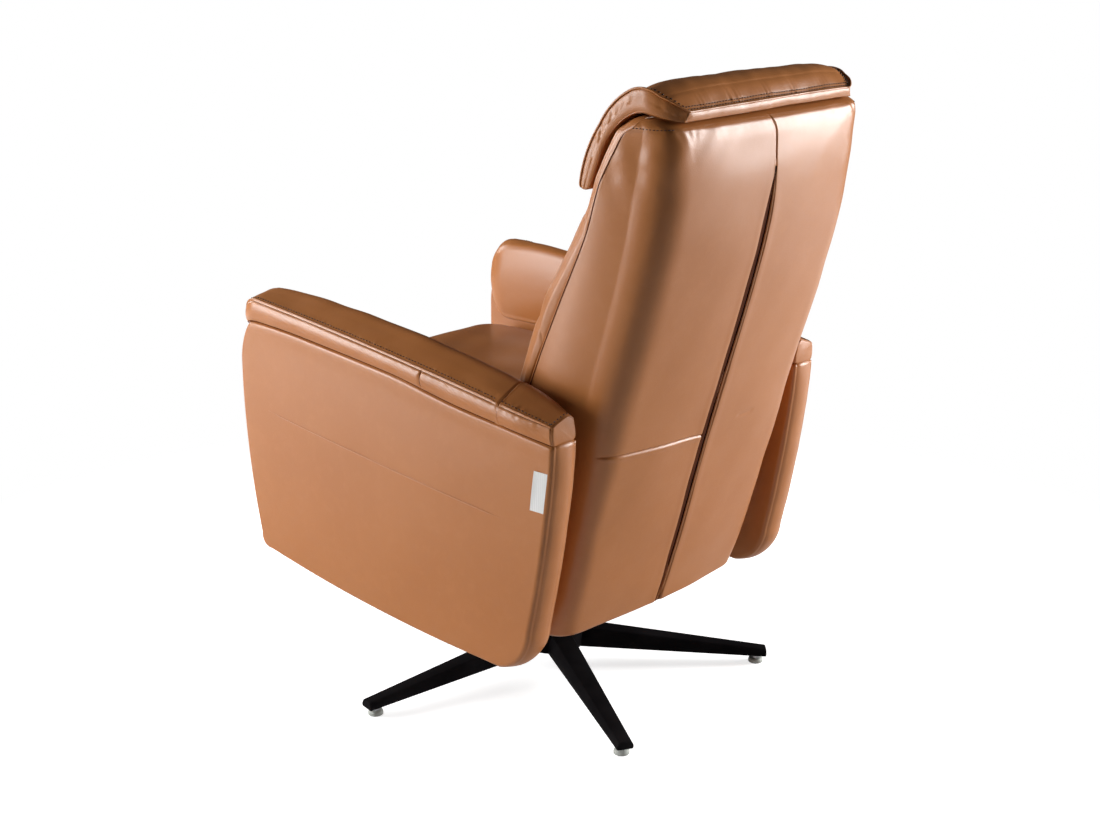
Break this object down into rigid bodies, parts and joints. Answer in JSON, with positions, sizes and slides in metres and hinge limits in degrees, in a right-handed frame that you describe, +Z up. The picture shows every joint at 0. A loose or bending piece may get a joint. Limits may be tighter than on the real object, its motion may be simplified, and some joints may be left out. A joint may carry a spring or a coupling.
{
  "type": "swivel recliner armchair",
  "caption": "Upholstered leather recliner on a black star base, with padded arms, tall reclining back, folding headrest and a stowed footrest.",
  "frame": {"origin": "swivel axis at floor level", "axes": "+Z up along the swivel axis, -Y the way the sitter faces, +X the sitter's left"},
  "size_m": [0.7358, 0.8652, 1.071],
  "materials": {
    "plywood": "matte",
    "dark_steel": "satin",
    "tan_leather": "satin",
    "zip_tape": "matte",
    "black_coat": "satin",
    "bright_steel": "satin",
    "glide_plastic": "matte",
    "webbing": "matte",
    "bearing_plastic": "matte"
  },
  "bodies": {
    "base": {"base_leg_1": "black_coat", "base_leg_2": "black_coat", "base_leg_3": "black_coat", "base_leg_4": "black_coat", "base_leg_5": "black_coat", "glide_pads": "glide_plastic", "glide_studs": "bright_steel", "base_hub": "black_coat", "swivel_spindle": "bright_steel", "spindle_cap": "bright_steel", "thrust_bearing": "bearing_plastic"},
    "seat": {"arm_board_left": "plywood", "arm_board_right": "plywood", "arm_brackets": "dark_steel", "arm_edge_band_left": "tan_leather", "arm_edge_band_right": "tan_leather", "arm_inner_panel_left": "tan_leather", "arm_inner_panel_right": "tan_leather", "arm_outer_panel_left": "tan_leather", "arm_outer_panel_right": "tan_leather", "arm_pad_left": "tan_leather", "arm_pad_right": "tan_leather", "arm_rear_pad_left": "tan_leather", "arm_rear_pad_right": "tan_leather", "chassis_plate_left": "dark_steel", "chassis_plate_right": "dark_steel", "control_pins": "bright_steel", "cross_tubes": "dark_steel", "plate_bolts": "bright_steel", "recline_pins": "bright_steel", "seat_cushion": "tan_leather", "seat_frame": "plywood", "seat_webbing": "webbing", "strut_body": "dark_steel", "strut_clevis": "dark_steel", "swivel_plate": "dark_steel", "swivel_sleeve": "dark_steel"},
    "backrest": {"back_uprights": "dark_steel", "back_brackets": "dark_steel", "back_rails": "dark_steel", "back_rear_pad": "tan_leather", "back_cushion": "tan_leather", "back_lower_panel": "tan_leather", "strut_bar": "bright_steel", "panel_stays": "dark_steel", "headrest_lugs": "dark_steel", "back_zip": "zip_tape"},
    "headrest": {"headrest_arms": "dark_steel", "headrest_pad": "tan_leather"},
    "footrest_crank": {"footrest_cranks": "dark_steel", "footrest_shaft": "bright_steel"},
    "footrest_link": {"footrest_links": "dark_steel", "footrest_rod": "bright_steel"},
    "footrest": {"footrest_brackets": "dark_steel", "footrest_board": "plywood", "footrest_cushion": "tan_leather"},
    "control_bar_l": {"control_bar_left": "dark_steel"},
    "control_bar_r": {"control_bar_right": "dark_steel"},
    "gas_rod": {"strut_rod": "bright_steel"}
  },
  "joints": [
    {"name": "swivel", "type": "hinge", "parent": "base", "child": "seat", "pos_m": [0, 0, 0.2], "axis": [0, 0, 1], "continuous": true},
    {"name": "recline", "type": "hinge", "parent": "seat", "child": "backrest", "pos_m": [0, 0.165, 0.385], "axis": [-1, 0, 0], "range_deg": [0, 35]},
    {"name": "headrest_tilt", "type": "hinge", "parent": "backrest", "child": "headrest", "pos_m": [0, 0.29, 0.903], "axis": [1, 0, 0], "range_deg": [0, 32]},
    {"name": "footrest_swing", "type": "hinge", "parent": "seat", "child": "footrest_crank", "pos_m": [0, -0.25, 0.345], "axis": [-1, 0, 0], "range_deg": [0, 145]},
    {"name": "link_swing", "type": "hinge", "parent": "footrest_crank", "child": "footrest_link", "pos_m": [0, -0.12312, 0.28583], "axis": [-1, 0, 0], "range_deg": [-145, 0]},
    {"name": "footrest_tilt", "type": "hinge", "parent": "footrest_link", "child": "footrest", "pos_m": [0, -0.338, 0.31603], "axis": [-1, 0, 0], "range_deg": [0, 80]},
    {"name": "control_bar_swing_l", "type": "hinge", "parent": "seat", "child": "control_bar_l", "pos_m": [0, -0.31932, 0.35474], "axis": [-1, 0, 0], "range_deg": [0, 145]},
    {"name": "control_bar_swing_r", "type": "hinge", "parent": "seat", "child": "control_bar_r", "pos_m": [0, -0.31932, 0.35474], "axis": [-1, 0, 0], "range_deg": [0, 145]},
    {"name": "gas_strut_slide", "type": "slide", "parent": "seat", "child": "gas_rod", "axis": [0, 0.9945, -0.1045], "range_m": [-0.0485, 0]}
  ],
  "couplings": [
    {"joint": "link_swing", "follows": "footrest_swing", "ratio": -1},
    {"joint": "footrest_tilt", "follows": "footrest_swing", "ratio": 0.5517},
    {"joint": "control_bar_swing_l", "follows": "footrest_swing", "ratio": 1},
    {"joint": "control_bar_swing_r", "follows": "footrest_swing", "ratio": 1},
    {"joint": "gas_strut_slide", "follows": "recline", "m_per_rad": -0.0789}
  ]
}
